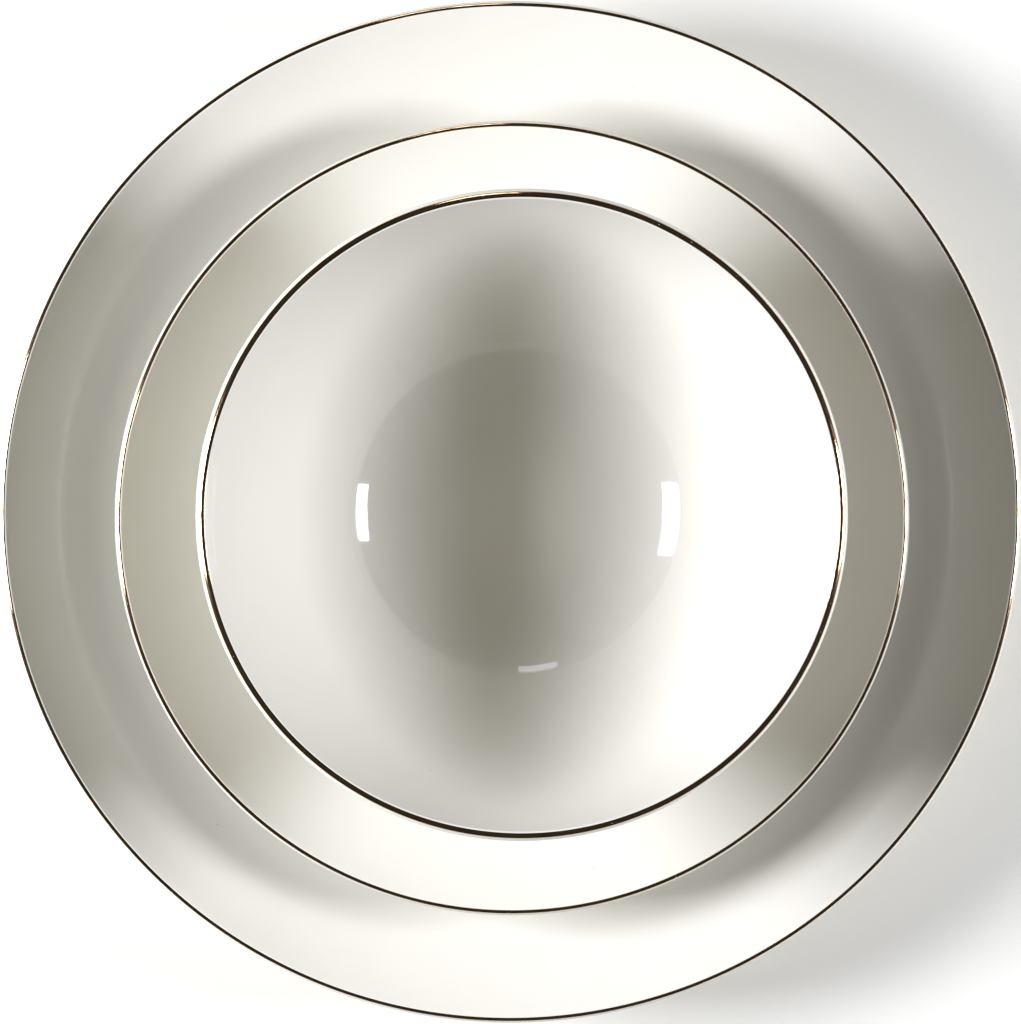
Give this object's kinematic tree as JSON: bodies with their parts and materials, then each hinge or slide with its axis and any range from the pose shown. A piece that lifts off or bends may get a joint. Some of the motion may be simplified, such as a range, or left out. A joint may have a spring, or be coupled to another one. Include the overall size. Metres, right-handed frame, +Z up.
{
  "type": "china dinner plate with side plate and bowl",
  "caption": "Round white glazed china coupe dinner plate with a gold-banded lip, carrying a matching loose side plate and coupe bowl stacked in its well.",
  "frame": {"origin": "on the table, on the dinner plate's axis", "axes": "+Z up out of the dinner plate's well; X and Y level, to the right and to the back"},
  "size_m": [0.2696, 0.2696, 0.0846],
  "materials": {
    "china_body": "matt unglazed bisque",
    "glaze": "gloss clear glaze over white china",
    "gold": "burnished gold lustre"
  },
  "bodies": {
    "dinner_plate": {"dinner_plate_body": "china_body", "dinner_plate_glaze": "glaze", "dinner_plate_gold_rim": "gold"},
    "side_plate": {"side_plate_body": "china_body", "side_plate_glaze": "glaze", "side_plate_gold_rim": "gold"},
    "bowl": {"bowl_body": "china_body", "bowl_glaze": "glaze", "bowl_gold_rim": "gold"}
  },
  "joints": [
    {"name": "side_plate_lift", "type": "slide", "parent": "dinner_plate", "child": "side_plate", "axis": [0, 0, 1], "range_m": [0, 0.1]},
    {"name": "bowl_lift", "type": "slide", "parent": "side_plate", "child": "bowl", "axis": [0, 0, 1], "range_m": [0, 0.1]}
  ]
}
